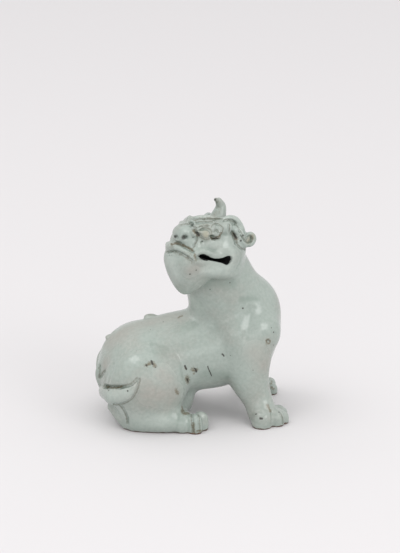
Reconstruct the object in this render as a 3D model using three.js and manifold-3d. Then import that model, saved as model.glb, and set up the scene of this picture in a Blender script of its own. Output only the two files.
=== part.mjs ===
// A glazed porcelain qilin, seated on its haunches with its head turned back over its right shoulder.
// Millimetres, +Z up, +X towards the chest, +Y towards the figure's left side.
// The origin lies under the middle of the figure, on the surface it stands on.
import * as THREE from "three";
import { LoftGeometry } from "three/addons/geometries/LoftGeometry.js";
import { mergeVertices } from "three/addons/utils/BufferGeometryUtils.js";
import Module from "manifold-3d";

const wasm = await Module();
wasm.setup();

// Driving dimensions
const LEFT = 1; // the figure's left side
const RIGHT = -1; // the figure's right side, towards which it looks back
const HORN_TOP = 36.5; // height of the horn above the middle of the head
const LIP = 2.4; // radius of the lips round the mouth
const FOLD = 1.9; // radius of the folds of the brow
const EYE = 4.6; // radius of the eye
const MOUTH_REACH = 40; // how far the slit of the mouth is carried to each side
const GROUND = 400; // size of the block that levels the underside

// The head's own frame: +X to the snout, +Y to its left cheek, +Z to the crown.
const HEAD_AT = [11, -14, 127];
const HEAD_HEADING = 210; // degrees from the chest's direction, anticlockwise from above
const HEAD_PITCH = 16; // degrees that the snout is raised

// Clay settles over the large forms first and over the details last: rounds, share in, share out.
const LARGE_FORMS = [8, 0.55, 0.52];
const DETAILS = [1, 0.35, 0.25];

const { degToRad } = THREE.MathUtils;
const SEAM = 1e-4; // corners closer than this are one
const DOME_END = 0.94; // share of a quarter turn at which a dome's last ring lies

// Turns a three.js geometry into a solid.
function solid(geometry) {
  const shell = new THREE.BufferGeometry();
  shell.setAttribute("position", geometry.getAttribute("position"));
  shell.setIndex(geometry.getIndex());
  const merged = mergeVertices(shell, SEAM);
  return new wasm.Manifold(
    new wasm.Mesh({
      numProp: 3,
      vertProperties: merged.getAttribute("position").array,
      triVerts: new Uint32Array(merged.index.array),
    }),
  );
}

function join(solids) {
  return solids.flat(Infinity).reduce((all, one) => all.add(one));
}

// An ellipsoid: half sizes along its own axes, turned by degrees about X, Y and Z.
function ball({ at, size, turn = [0, 0, 0], detail = 10 }) {
  const geometry = new THREE.SphereGeometry(1, detail, Math.ceil(detail * 0.6));
  geometry.applyMatrix4(
    new THREE.Matrix4().compose(
      new THREE.Vector3(...at),
      new THREE.Quaternion().setFromEuler(new THREE.Euler(...turn.map(degToRad), "ZYX")),
      new THREE.Vector3(...size),
    ),
  );
  return solid(geometry);
}

// A rounded limb: elliptical rings carried along a smooth curve through the given points. wide is the half
// width along side at each point, and deep the half width across it. Each end closes in a dome.
function limb({ along, wide, deep, side = [0, 1, 0], around = 7, steps = 5, dome = 2 }) {
  wide = Array.isArray(wide) ? wide : Array(along.length).fill(wide);
  deep = deep ?? wide;
  const curve = new THREE.CatmullRomCurve3(along.map((p) => new THREE.Vector3(...p)));
  const halves = wide.map((w, i) => new THREE.Vector3(w, deep[i], i));
  const girth = new THREE.CatmullRomCurve3(halves, false, "catmullrom");
  const sideways = new THREE.Vector3(...side);
  const sections = [];
  const ring = (t, reach, shrink) => {
    const tangent = curve.getTangent(t);
    const across = sideways.clone().addScaledVector(tangent, -sideways.dot(tangent)).normalize();
    const upright = tangent.clone().cross(across);
    const size = girth.getPoint(t);
    const centre = curve.getPoint(t).addScaledVector(tangent, reach * Math.min(size.x, size.y));
    const points = [];
    for (let i = 0; i < around; i++) {
      const angle = (2 * Math.PI * i) / around;
      points.push(
        centre
          .clone()
          .addScaledVector(across, size.x * shrink * Math.cos(angle))
          .addScaledVector(upright, size.y * shrink * Math.sin(angle)),
      );
    }
    sections.push(points);
  };
  const domeAngles = Array.from({ length: dome }, (_, i) => ((i + 1) * DOME_END * Math.PI) / 2 / dome);
  for (const angle of domeAngles.toReversed()) ring(0, -Math.sin(angle), Math.cos(angle));
  for (let i = 0; i <= steps; i++) ring(i / steps, 0, 1);
  for (const angle of domeAngles) ring(1, Math.sin(angle), Math.cos(angle));
  return solid(new LoftGeometry(sections, { capStart: true, capEnd: true }));
}

// A thin strand of clay, such as a lip, a fold or a lock.
function strand(along, wide, steps, side = [0, 0, 1]) {
  return limb({ along, wide, steps, side, around: 6, dome: 1 });
}

// Lets the clay settle: each vertex moves part of the way to the mean of its neighbours, then most of the way
// back out, so that creases round over and the forms keep their size.
function soften(made, [rounds, inward, outward]) {
  const mesh = made.getMesh();
  const at = new Float64Array(mesh.vertProperties);
  const links = Array.from({ length: mesh.numVert }, () => new Set());
  for (let i = 0; i < mesh.triVerts.length; i += 3) {
    const [a, b, c] = mesh.triVerts.subarray(i, i + 3);
    links[a].add(b).add(c);
    links[b].add(a).add(c);
    links[c].add(a).add(b);
  }
  const move = (share) => {
    const before = at.slice();
    links.forEach((near, v) => {
      for (let k = 0; k < 3; k++) {
        let sum = 0;
        for (const n of near) sum += before[3 * n + k];
        at[3 * v + k] += share * (sum / near.size - before[3 * v + k]);
      }
    });
  };
  for (let round = 0; round < rounds; round++) {
    move(inward);
    move(-outward);
  }
  const vertProperties = new Float32Array(at);
  return new wasm.Manifold(new wasm.Mesh({ numProp: 3, vertProperties, triVerts: mesh.triVerts }));
}

// The trunk: rump, barrel, the column of chest and neck, and the clay that fills between the hind legs.
function trunk() {
  return [
    limb({
      along: [[-34, 0, 20], [-35, 0, 33], [-34.5, 0, 39.5]],
      wide: [36, 37.5, 36.5],
      deep: [28.5, 33.5, 33],
      around: 16,
      steps: 2,
      dome: 4,
    }),
    limb({
      along: [[-38, 0, 40], [-10, 0, 47.5], [18, 0, 50], [38, 0, 53]],
      wide: [30.5, 30, 27.5, 25.5],
      deep: [30, 30, 31, 28.5],
      around: 14,
      steps: 6,
      dome: 3,
    }),
    limb({
      along: [[37, 0, 58], [34, 0, 71], [24.5, -3, 94], [17.5, -7, 116]],
      wide: [28, 27.5, 23, 20],
      deep: [33.5, 36, 28.2, 25.2],
      around: 14,
      steps: 6,
      dome: 3,
    }),
    limb({ along: [[-38, 0, 15], [-15, 0, 15]], wide: [27, 26], deep: [20, 18], around: 12, steps: 2 }),
  ];
}

// A folded hind leg: thigh, and the shank and foot that lie along the ground.
function haunch(side) {
  return [
    ball({ at: [-33, 24 * side, 33], size: [27, 21, 29], detail: 12 }),
    limb({
      along: [[-41, 20 * side, 8], [-20, 28 * side, 8], [-7, 32 * side, 4]],
      wide: [15, 14, 9.5],
      deep: [14, 12, 6.5],
      around: 12,
      steps: 4,
    }),
  ];
}

// From the shoulder down to the ankle and foot.
function foreleg(side, ankle, foot) {
  return limb({
    along: [[39.5, 19 * side, 56], [38.8, 23 * side, 34], ankle, foot],
    wide: [14, 12.4, 10.2, 11],
    deep: [19.5, 16.2, 11.6, 11.5],
    around: 12,
    steps: 5,
  });
}

// Round toes in front of an ankle, each given as where it is and its half length, half width and half height.
function paw(ankle, toes) {
  return toes.map(([at, size]) => {
    const ahead = [at[0] - ankle[0], at[1] - ankle[1]];
    const turn = THREE.MathUtils.radToDeg(Math.atan2(ahead[1], ahead[0]));
    return ball({ at, size, turn: [0, 0, turn], detail: 7 });
  });
}

function paws() {
  const hind = (side) =>
    paw([-12, 33 * side, 6], [
      [[-5, 38.5 * side, 5], [7, 5.4, 9]],
      [[0.5, 34 * side, 5], [7, 4.4, 9]],
      [[2, 28 * side, 4], [6, 4.4, 7]],
    ]);
  const nearFore = paw([49, -28, 7], [
    [[47, -35, 4.5], [9, 8, 9]],
    [[56, -34, 4.5], [8.5, 5.6, 7.5]],
    [[61.5, -31, 3], [6.5, 4.6, 6]],
    [[61.5, -24, 3], [6.5, 4.6, 6]],
  ]);
  const farFore = paw([54, 30, 6], [
    [[49, 37, 4], [8, 6.9, 7.4]],
    [[60, 36.6, 4], [8, 5.2, 7.2]],
    [[65, 33, 4], [6.6, 4.8, 6]],
    [[65, 26.5, 3], [6.5, 4.4, 5.8]],
  ]);
  return [hind(RIGHT), hind(LEFT), nearFore, farFore];
}

// The tail: a fan of flame-shaped locks laid flat on the rump. A lock is thin along side and broad across it.
function tail() {
  const lock = (along, thin, broad) => {
    const side = [-0.65, 0.75 * Math.sign(along[1][1]), 0];
    return limb({ along, wide: thin, deep: broad, side, around: 6, dome: 1 });
  };
  const great = [
    [-65, -10, 24], [-63.5, -20, 26], [-61.5, -27.8, 27], [-56, -35.6, 30],
    [-50.6, -41, 35], [-46.8, -42.4, 40], [-44.2, -41.6, 44.5],
  ];
  const upright = [[-62, -17, 29], [-61.5, -19, 38], [-60.2, -20.2, 45], [-59, -20, 51]];
  const near = [
    lock(great, [3.4, 3.6, 3.6, 3.4, 3, 2.2, 1], [5, 5.6, 6.4, 6.4, 5.6, 3.4, 1]),
    lock(upright, [3, 2.8, 2.2, 1], [5, 4.2, 2.8, 0.8]),
    lock([[-58.5, -12, 15], [-54.5, -20, 9], [-51, -24.5, 2]], [3.4, 3.4, 2], [6, 5, 2.5]),
    lock([[-63.5, -4, 24], [-67, -4, 36], [-66, -4, 46]], [2.4, 2.4, 1], [4, 3.4, 0.8]),
  ];
  const far = [
    lock([[-63, 10, 23], [-58, 25, 24], [-51.5, 35, 31], [-46, 40, 41]], [3, 3.2, 3, 1], [5, 6, 5, 1]),
    lock([[-63, 17, 29], [-62.5, 20.5, 39], [-59.5, 20, 49]], [3, 2.8, 1], [5, 3.6, 1]),
  ];
  return [near, far];
}

// Low knobs along the spine.
function spine() {
  const knobs = [[-56, 5, 60.4], [-27.5, 8, 73]];
  return knobs.map((at) => ball({ at, size: [5, 4, 2.8], detail: 6 }));
}

const headFrame = new THREE.Matrix4()
  .makeTranslation(...HEAD_AT)
  .multiply(new THREE.Matrix4().makeRotationZ(degToRad(HEAD_HEADING)))
  .multiply(new THREE.Matrix4().makeRotationY(degToRad(-HEAD_PITCH)));

function skull() {
  return [
    ball({ at: [-5, 0, 3], size: [23, 22.5, 21], detail: 12 }),
    ball({ at: [15, 0, 3], size: [17.5, 17.5, 11.5], detail: 11 }),
    ball({ at: [2, 0, -8], size: [23, 20.5, 13.5], detail: 11 }),
    // chin, pointed below
    limb({
      along: [[11.5, 0, -5], [14, 0, -14], [15.4, 0, -24.5]],
      wide: [18.5, 18.8, 10.4],
      deep: [22.2, 23.2, 13],
      around: 10,
      steps: 4,
    }),
    ball({ at: [7, 3, 14], size: [17, 14, 8], detail: 8 }),
    ball({ at: [-4, 9, 16], size: [13, 10, 10], detail: 8 }),
  ];
}

// Nose, the lip that bridges the front of the mouth, and the horn.
function muzzle() {
  const lip = [
    [23, -14.5, -4.4], [29, -8, -0.8], [29.6, -2, -0.4], [29.5, 4, -0.6],
    [28.8, 10, -1.5], [26.3, 15.4, -4.6],
  ];
  const horn = [[-1.4, 0, 20], [-2.2, 0, 27], [-2.2, 0, 33], [1, 0, HORN_TOP]];
  return [
    ball({ at: [24.8, 0, 9.8], size: [8, 11, 8], detail: 10 }),
    limb({ along: lip, wide: [2.8, 3.2, 3.4, 3.4, 3.2, 2], side: [0, 0, 1], steps: 6, dome: 1 }),
    limb({ along: horn, wide: [8.8, 5.8, 4.1, 2.8], around: 8 }),
  ];
}

// The side of the face that shows: cheeks, lips, eye, brow, ear and locks, in the head's frame.
function nearFace() {
  const lips = [
    [26, 14.8, -0.6], [16.5, 16.8, 2.2], [10, 17.6, 0.9], [4, 18.2, 1.9], [-1, 18.6, 4.2],
    [-6.8, 18.6, 3.2], [-8.6, 18.6, -1.5], [-6.8, 18.6, -6.3], [-2.5, 18.4, -8], [3, 18, -6.8],
    [17, 16.4, -6.2], [24, 15, -6],
  ];
  const brow = [[20, -1, 21], [18, 5, 23.3], [12, 9, 24.3], [4, 10.5, 24.3]];
  const frown = [[25, 3, 19.7], [22.5, 9, 21.3], [15, 13, 21.9], [9, 13, 21.5]];
  const lid = [[26.5, 8, 17.5], [22.5, 12.8, 19.2], [14, 15.4, 18.9], [11, 15.3, 17]];
  const ear = [
    [14.8, 14.8, 21.8], [16.2, 16, 19.4], [15, 16.8, 16.2],
    [11.5, 17, 15], [8.4, 16.6, 17.2], [8.8, 15.8, 20.4],
  ];
  const upperLock = [
    [5.5, 10.5, 23.5], [0.6, 13, 26.8], [-3.1, 13.3, 27.1], [-9.8, 14, 24.1], [-15, 15.4, 17.6],
  ];
  const lowerLock = [
    [-4.6, 15, 20], [-8.9, 17.6, 18.5], [-13.1, 18.8, 12.4], [-17.4, 18.8, 11.3], [-21, 18.6, 12.3],
    [-22.2, 18.4, 15], [-20.4, 18.6, 17.4], [-17.3, 18.8, 18], [-15.7, 19, 16.4],
  ];
  return [
    ball({ at: [6, 13, 8.5], size: [14, 6, 6.5], detail: 9 }),
    ball({ at: [4, 13.5, -11], size: [16, 6.5, 7], detail: 9 }),
    strand(lips, LIP, 10),
    ball({ at: [19.1, 14, 14], size: [EYE, EYE, EYE], detail: 8 }),
    strand(brow, [2.6, 3, 3, 2.6], 4),
    strand(frown, [FOLD, 2.3, 2.3, FOLD], 4),
    strand(lid, FOLD, 4),
    strand(ear, 2.2, 7, [0, 1, 0]),
    ball({ at: [12, 14.6, 18.2], size: [3, 3, 3], detail: 5 }),
    ball({ at: [3, 14, 20.4], size: [5, 4.2, 5], detail: 8 }),
    ball({ at: [-4, 14.5, 19], size: [4, 3.8, 4.2], detail: 6 }),
    strand(upperLock, [1.6, 2.6, 2.8, 2.6, 2], 7, [0, 1, 0]),
    strand(lowerLock, [2.6, 2.8, 3, 3, 2.9, 2.8, 2.6, 2.4, 1.8], 10, [0, 1, 0]),
    ball({ at: [-17.2, 17.2, 14.6], size: [3.8, 2.8, 3.8], detail: 6 }),
  ];
}

// The far side of the face, lower and plainer.
function farFace() {
  const lips = [
    [26, -14.8, -0.6], [16.5, -16.6, 2], [4, -18, 2], [-5, -18.4, 4],
    [-8.6, -18.4, -1.5], [-5, -18.4, -7.2], [10, -17, -6.4], [24, -15, -5.8],
  ];
  const brow = [[22, -2.5, 18.5], [18.5, -8, 18.5], [12, -13, 18.5], [4, -15, 18]];
  const ear = [[13, -15.5, 17], [13.5, -17, 12.5], [9, -17.5, 11.5], [7.5, -17, 15.5]];
  const upperLock = [[2, -9, 23], [-5, -13, 23.5], [-11, -16, 19], [-14, -17, 14]];
  const lowerLock = [
    [-2, -14, 19], [-8.5, -17.5, 16], [-12, -18.6, 11.5], [-17.4, -18.8, 9.5],
    [-21.6, -18.6, 12.5], [-20, -18.6, 16.5], [-16.5, -19, 15.5],
  ];
  return [
    ball({ at: [6, -13, 7.5], size: [14, 6, 6.5], detail: 7 }),
    ball({ at: [4, -13.5, -11], size: [16, 6.5, 7], detail: 7 }),
    strand(lips, LIP, 7),
    ball({ at: [18.5, -12, 12], size: [EYE, EYE, EYE], detail: 7 }),
    strand(brow, [3, 3.2, 3.2, 2.4], 4),
    strand(ear, 2.2, 4, [0, 1, 0]),
    ball({ at: [3, -15, 17], size: [5, 4.2, 5], detail: 6 }),
    strand(upperLock, [2, 2.7, 2.7, 2.2], 4, [0, 1, 0]),
    strand(lowerLock, [2.6, 2.9, 2.9, 2.8, 2.7, 2.5, 2], 7, [0, 1, 0]),
    ball({ at: [-17.2, -17.2, 13], size: [3.8, 2.8, 3.8], detail: 5 }),
  ];
}

// The open mouth: a dark chamber in the head and a wavy slit through each cheek.
function mouth() {
  const edge = [
    [22, -1.8], [19.8, 0.2], [17, -0.8], [10.8, -2.2], [4.4, -1.2], [-0.4, 1.3], [-3.6, 0.4],
    [-4.4, -2.8], [-2, -5], [2.7, -4.1], [8.6, -3.9], [14.5, -3.6], [19, -3.2],
  ];
  const slit = new THREE.Shape(edge.map((p) => new THREE.Vector2(...p)));
  const cut = new THREE.ExtrudeGeometry(slit, { depth: 2 * MOUTH_REACH, bevelEnabled: false });
  cut.translate(0, 0, -MOUTH_REACH).rotateX(Math.PI / 2);
  return [solid(cut), ball({ at: [9, 0, -2.5], size: [13.5, 14.5, 7.5], detail: 10 })];
}

const inHead = (solids) => join(solids).transform(headFrame.toArray());
const ground = solid(new THREE.BoxGeometry(GROUND, GROUND, GROUND).translate(0, 0, -GROUND / 2));

let figure = join([
  trunk(),
  haunch(RIGHT),
  haunch(LEFT),
  foreleg(RIGHT, [45, -26, 17], [48, -29, 7]),
  foreleg(LEFT, [50, 30.5, 17], [54, 33, 6]),
  inHead(skull()),
]);
figure = soften(figure, LARGE_FORMS);
figure = join([figure, inHead([muzzle(), nearFace(), farFace()]), paws(), tail(), spine()]);
figure = figure.subtract(inHead(mouth()));
figure = soften(figure, DETAILS);
figure = figure.subtract(ground);
const { min, max } = figure.boundingBox();
figure = figure.translate([-(min[0] + max[0]) / 2, -(min[1] + max[1]) / 2, 0]);

function geometryOf(made) {
  const mesh = made.getMesh();
  const geometry = new THREE.BufferGeometry();
  geometry.setAttribute("position", new THREE.BufferAttribute(mesh.vertProperties, 3));
  geometry.setIndex(new THREE.BufferAttribute(mesh.triVerts, 1));
  geometry.computeVertexNormals();
  return geometry;
}

const glaze = new THREE.MeshStandardMaterial({ color: 0xb4beb6, roughness: 0.25, metalness: 0 });
const qilin = new THREE.Mesh(geometryOf(figure), glaze);
qilin.name = "qilin_figure";
const group = new THREE.Group();
group.add(qilin);

export default group;
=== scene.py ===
import math

import bpy
import numpy as np
from mathutils import Euler, Matrix, Vector


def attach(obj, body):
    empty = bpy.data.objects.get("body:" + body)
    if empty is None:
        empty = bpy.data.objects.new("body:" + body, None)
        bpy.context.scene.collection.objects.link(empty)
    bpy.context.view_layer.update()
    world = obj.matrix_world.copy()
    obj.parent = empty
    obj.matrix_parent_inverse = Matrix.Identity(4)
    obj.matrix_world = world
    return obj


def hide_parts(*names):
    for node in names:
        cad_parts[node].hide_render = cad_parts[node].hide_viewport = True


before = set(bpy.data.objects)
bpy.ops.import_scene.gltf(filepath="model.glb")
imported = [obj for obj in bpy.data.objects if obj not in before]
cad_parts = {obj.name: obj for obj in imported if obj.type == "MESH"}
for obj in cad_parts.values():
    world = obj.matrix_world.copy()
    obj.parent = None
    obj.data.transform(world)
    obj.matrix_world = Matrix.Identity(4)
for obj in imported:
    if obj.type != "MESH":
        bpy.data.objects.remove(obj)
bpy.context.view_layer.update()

# Shapes are given in millimetres, in the frame of the CAD, and become metres when they are finished.
MM = 0.001
LEFT, RIGHT = 1, -1  # the figure's left side, and its right side, which the camera sees
MIDDLE = (-0.52, 0.33, 0.0)  # moves the shapes so that the figure stands over the origin

# The head's own frame: +X to the snout, +Y to its left cheek, +Z to the crown.
HEAD_AT = (11, -14, 127)
HEAD_HEADING = math.radians(210)  # from the chest's direction, anticlockwise from above
HEAD_PITCH = math.radians(16)  # how far the snout is raised
HEAD = Matrix.Translation(HEAD_AT) @ Euler((0, -HEAD_PITCH, HEAD_HEADING), "XYZ").to_matrix().to_4x4()

# The clay is gridded four times, from the large forms to the finished surface. For each time: how wide the
# squares of the grid are, and in how many rounds the clay then settles.
BODY_GRID, BODY_ROUNDS = 1.4, 24
HEAD_GRID, HEAD_ROUNDS = 1.05, 10
DETAIL_GRID = 0.7
SURFACE_GRID, SURFACE_ROUNDS = 0.5, 6
MOST_TRIANGLES = 190_000

# The view of the picture.
AZIMUTH, ELEVATION = math.radians(-10), math.radians(18)
DISTANCE = 1400.0
PICTURE = (400, 553)  # pixels across and down
MM_PER_PIXEL = 0.72  # in the plane that the camera aims at
AIM_AHEAD = 25  # how far that plane is in front of the origin
ORIGIN_PIXEL = (190.0, 414.4)  # where the middle of the ground under the figure shows
RIGHTWARDS = np.array([math.cos(AZIMUTH), math.sin(AZIMUTH), 0])
TOWARDS = np.array([
    math.sin(AZIMUTH) * math.cos(ELEVATION),
    -math.cos(AZIMUTH) * math.cos(ELEVATION),
    math.sin(ELEVATION),
])
UPWARDS = np.cross(TOWARDS, RIGHTWARDS)
AIM = (
    RIGHTWARDS * (PICTURE[0] / 2 - ORIGIN_PIXEL[0]) * MM_PER_PIXEL
    + UPWARDS * (ORIGIN_PIXEL[1] - PICTURE[1] / 2) * MM_PER_PIXEL
    + TOWARDS * AIM_AHEAD
)
EYE = AIM + TOWARDS * DISTANCE

# How finely limbs and balls are drawn before they are gridded.
RINGS_PER_WIDTH = 3
THINNEST = 1.2
MOST_RINGS = 90
DOME_RINGS = 6
DOME_START = 0.12  # where the first ring of a dome is, as a share of the quarter turn from its rim to its tip
DOME_TIP = 0.0006  # the least square of a dome ring's share of the limb's width, so that no ring is a point
POLE = 0.97  # how near the last rings of a ball come to its poles, as a share of the quarter turn
UPRIGHT = (0, 0, 1)
TINY = 1e-12


def unit(v):
    """Each row made one long, apart from a row of next to nothing."""
    return v / np.maximum(np.linalg.norm(v, axis=-1, keepdims=True), TINY)


def smooth_path(points, count, even=False):
    """Places on a smooth curve through the points. Each place comes from the four points around it, which
    straight blends make three, then two, then one. The knots that the blends go by are as far apart as the
    square root of the distance, or, where even is set, one apart."""
    p = np.asarray(points, float)
    p = np.vstack([2 * p[0] - p[1], p, 2 * p[-1] - p[-2]])
    gap = np.ones(len(p) - 1) if even else np.sqrt(np.linalg.norm(np.diff(p, axis=0), axis=1))
    knot = np.concatenate([[0], np.cumsum(gap)])
    s = np.linspace(0, len(points) - 1, count)
    i = np.clip(s.astype(int), 0, len(points) - 2)
    t = (knot[i + 1] + (s - i) * (knot[i + 2] - knot[i + 1]))[:, None]
    k = [knot[i + j][:, None] for j in range(4)]
    a = [((k[j + 1] - t) * p[i + j] + (t - k[j]) * p[i + j + 1]) / (k[j + 1] - k[j]) for j in range(3)]
    b = [((k[j + 2] - t) * a[j] + (t - k[j]) * a[j + 1]) / (k[j + 2] - k[j]) for j in range(2)]
    return ((k[2] - t) * b[0] + (t - k[1]) * b[1]) / (k[2] - k[1])


def closed_grid(rings):
    """Corners and faces of a tube of rings, its two ends closed by one many-sided face each."""
    rows, around = rings.shape[:2]
    k = np.arange(rows * around).reshape(rows, around)
    right = np.roll(k, -1, axis=1)
    quads = np.stack([k[:-1], right[:-1], right[1:], k[1:]], -1).reshape(-1, 4)
    return rings.reshape(-1, 3), quads.tolist() + [k[0, ::-1].tolist(), k[-1].tolist()]


def limb(along, wide, deep=None, side=(0, 1, 0), around=20):
    """A rounded limb. Point (u, v) is curve(v) + wide(v) cos u across + deep(v) sin u upright. Across is side
    made square to the curve, and upright is square to both. Half an ellipsoid closes each end."""
    wide = [wide] * len(along) if np.isscalar(wide) else wide
    deep = wide if deep is None else deep
    length = np.linalg.norm(np.diff(np.asarray(along, float), axis=0), axis=1).sum()
    thinnest = max(min(*wide, *deep), THINNEST)
    steps = min(max(int(RINGS_PER_WIDTH * length / thinnest), RINGS_PER_WIDTH * len(along)), MOST_RINGS)
    centre = smooth_path(along, steps)
    size = np.abs(smooth_path(np.column_stack([wide, deep]), steps, even=True))
    tangent = unit(np.gradient(centre, axis=0))

    dome = np.sin(np.linspace(DOME_START, 1, DOME_RINGS) * math.pi / 2)
    shrink = np.sqrt(np.maximum(1 - dome**2, DOME_TIP))
    reach = size.min(axis=1)
    start = centre[0] - tangent[0] * (dome * reach[0])[::-1, None]
    end = centre[-1] + tangent[-1] * (dome * reach[-1])[:, None]
    centre = np.vstack([start, centre, end])
    size = np.vstack([size[0] * shrink[::-1, None], size, size[-1] * shrink[:, None]])
    tangent = np.pad(tangent, ((DOME_RINGS, DOME_RINGS), (0, 0)), "edge")

    sideways = np.asarray(side, float)
    across = unit(sideways - tangent * (tangent @ sideways)[:, None])
    upright = np.cross(tangent, across)
    u = np.linspace(0, 2 * math.pi, around, endpoint=False)
    rings = (
        centre[:, None]
        + across[:, None] * (size[:, :1] * np.cos(u))[..., None]
        + upright[:, None] * (size[:, 1:] * np.sin(u))[..., None]
    )
    return closed_grid(rings)


def ball(at, size, plan=1.0, profile=1.0, taper=0.0, detail=36):
    """An ellipsoid, or with powers under 1 a rounded block. Point (u, v) is at + (size x C cos u,
    size y C sin u, size z sin v), where sin v has the power profile and cos u and sin u the power plan. C is
    cos v to the power profile times 1 + taper sin v."""
    def power(a, p):
        return np.sign(a) * np.abs(a) ** p

    v = np.linspace(-POLE, POLE, detail // 2) * math.pi / 2
    u = np.linspace(0, 2 * math.pi, detail, endpoint=False)
    flat = power(np.cos(v), profile) * (1 + taper * np.sin(v))
    x = np.outer(flat, power(np.cos(u), plan))
    y = np.outer(flat, power(np.sin(u), plan))
    z = np.outer(power(np.sin(v), profile), np.ones(detail))
    return closed_grid(np.stack([x, y, z], -1) * size + at)


def moved(shapes, matrix):
    """The shapes, each point carried by the matrix."""
    m = np.array(matrix)
    return [(points @ m[:3, :3].T + m[:3, 3], faces) for points, faces in shapes]


# Large forms of the body


def trunk():
    """Rump, barrel, the column of chest and neck, and the clay that fills between the hind legs."""
    rump = limb(
        [[-34, 0, 20], [-35, 0, 33], [-34.5, 0, 39.5]],
        wide=[35.5, 37, 36],
        deep=[28, 33, 32.5],
        around=48,
    )
    barrel = limb(
        [[-38, 0, 40], [-10, 0, 47.5], [18, 0, 50], [38, 0, 53]],
        wide=[30, 29.5, 27, 25],
        deep=[29.5, 29.5, 30.5, 28],
        around=48,
    )
    column = limb(
        [[36, 0, 60], [32.5, 0, 76], [24, -3, 94], [16.5, -7, 116]],
        wide=[26.5, 24.6, 20.6, 17],
        deep=[31.5, 34, 27.5, 23.5],
        around=48,
    )
    filling = limb([[-38, 0, 15], [-15, 0, 15]], wide=[27, 26], deep=[20, 18], around=36)
    return [rump, barrel, column, filling]


def haunch(side):
    """A folded hind leg: the thigh, and the shank and foot that lie along the ground."""
    thigh = ball([-34.5, 22 * side, 34], [30, 22.2, 29.2], detail=44)
    shank = limb(
        [[-41, 20 * side, 8], [-20, 28 * side, 8], [-7, 32 * side, 4]],
        wide=[15, 14, 9.5],
        deep=[14, 12, 6.5],
        around=32,
    )
    return [thigh, shank]


def foreleg(side, ankle, foot):
    """From the shoulder down to the ankle and foot."""
    along = [[39.5, 19 * side, 56], [38.8, 23 * side, 34], ankle, foot]
    return limb(along, wide=[14, 12, 10, 11], deep=[18.5, 15.6, 11.2, 11.5], around=36)


def near_shoulder():
    """The shoulder that shows swells in two places: behind, and in front on the chest."""
    behind = ball([30, -18.5, 64], [14, 12, 17], detail=44)
    in_front = ball([45, -13.5, 64.5], [19.5, 17, 19.4], detail=44)
    return [behind, in_front]


def skull():
    """The round of the head, the block of the muzzle, the chin and jaws, and the swell of the forehead."""
    return [
        ball([-5, 0, 3], [23, 22, 21], detail=44),
        ball([12.5, 0, 4], [17, 15.5, 9.5], plan=0.5, profile=0.7),
        ball([14.6, 0, -12], [16.8, 15.6, 21], plan=0.55, profile=1.1, taper=0.32),
        ball([-1, 0, -6.5], [24.5, 19.8, 11.5], plan=0.6, profile=0.55),
        ball([7, 3, 14], [16.5, 13, 8]),
        ball([-4, 8, 16], [13, 10, 9.5]),
    ]


# Smaller forms

PAD_FROM, PAD_TO = 0.2, 0.9  # where a toe's pad starts and ends, as shares of the way from ankle to toe
PAD_WIDTH = 0.9  # as a share of the toe's


def paw(ankle, toes):
    """A low pad in front of the ankle, and round toes. Each toe is given as where it is, and how far it
    reaches ahead, across and up."""
    heel = np.array(ankle, float)
    shapes = []
    for at, (ahead, across, up) in toes:
        way = np.array([at[0] - heel[0], at[1] - heel[1], 0])
        turn = Matrix.Rotation(math.atan2(way[1], way[0]), 4, "Z")
        shapes += moved([ball([0, 0, 0], [ahead, across, up], profile=0.8)], Matrix.Translation(at) @ turn)
        pad = [heel + way * PAD_FROM, heel + way * PAD_TO]
        shapes.append(limb(pad, [up, across * PAD_WIDTH], side=UPRIGHT))
    return shapes


def fore_paws():
    """The two forefeet stand differently, so each has toes of its own."""
    near = [
        ([46.5, -35, 4.5], [8.5, 8, 9]),
        ([56, -34, 4.5], [7.5, 5.4, 7.5]),
        ([62, -31.5, 3], [5, 4, 6]),
        ([63, -23, 3], [5, 4, 5.5]),
    ]
    far = [
        ([48, 37.5, 4], [7, 6.5, 7]),
        ([60, 37, 4], [7, 5, 7]),
        ([65.5, 33.5, 4], [6, 4.5, 6]),
        ([66, 26, 3], [5, 4, 5.5]),
    ]
    return paw([49, -28, 7], near) + paw([54, 30, 6], far)


def hind_paw(side):
    """Three toes side by side at the end of the shank."""
    toes = [
        ([-3.5, 38.5 * side, 5], [6, 5, 9]),
        ([1.5, 34.5 * side, 5], [6, 4, 9]),
        ([3, 28 * side, 4], [5, 4, 7]),
    ]
    return paw([-12, 33 * side, 6], toes)


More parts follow.
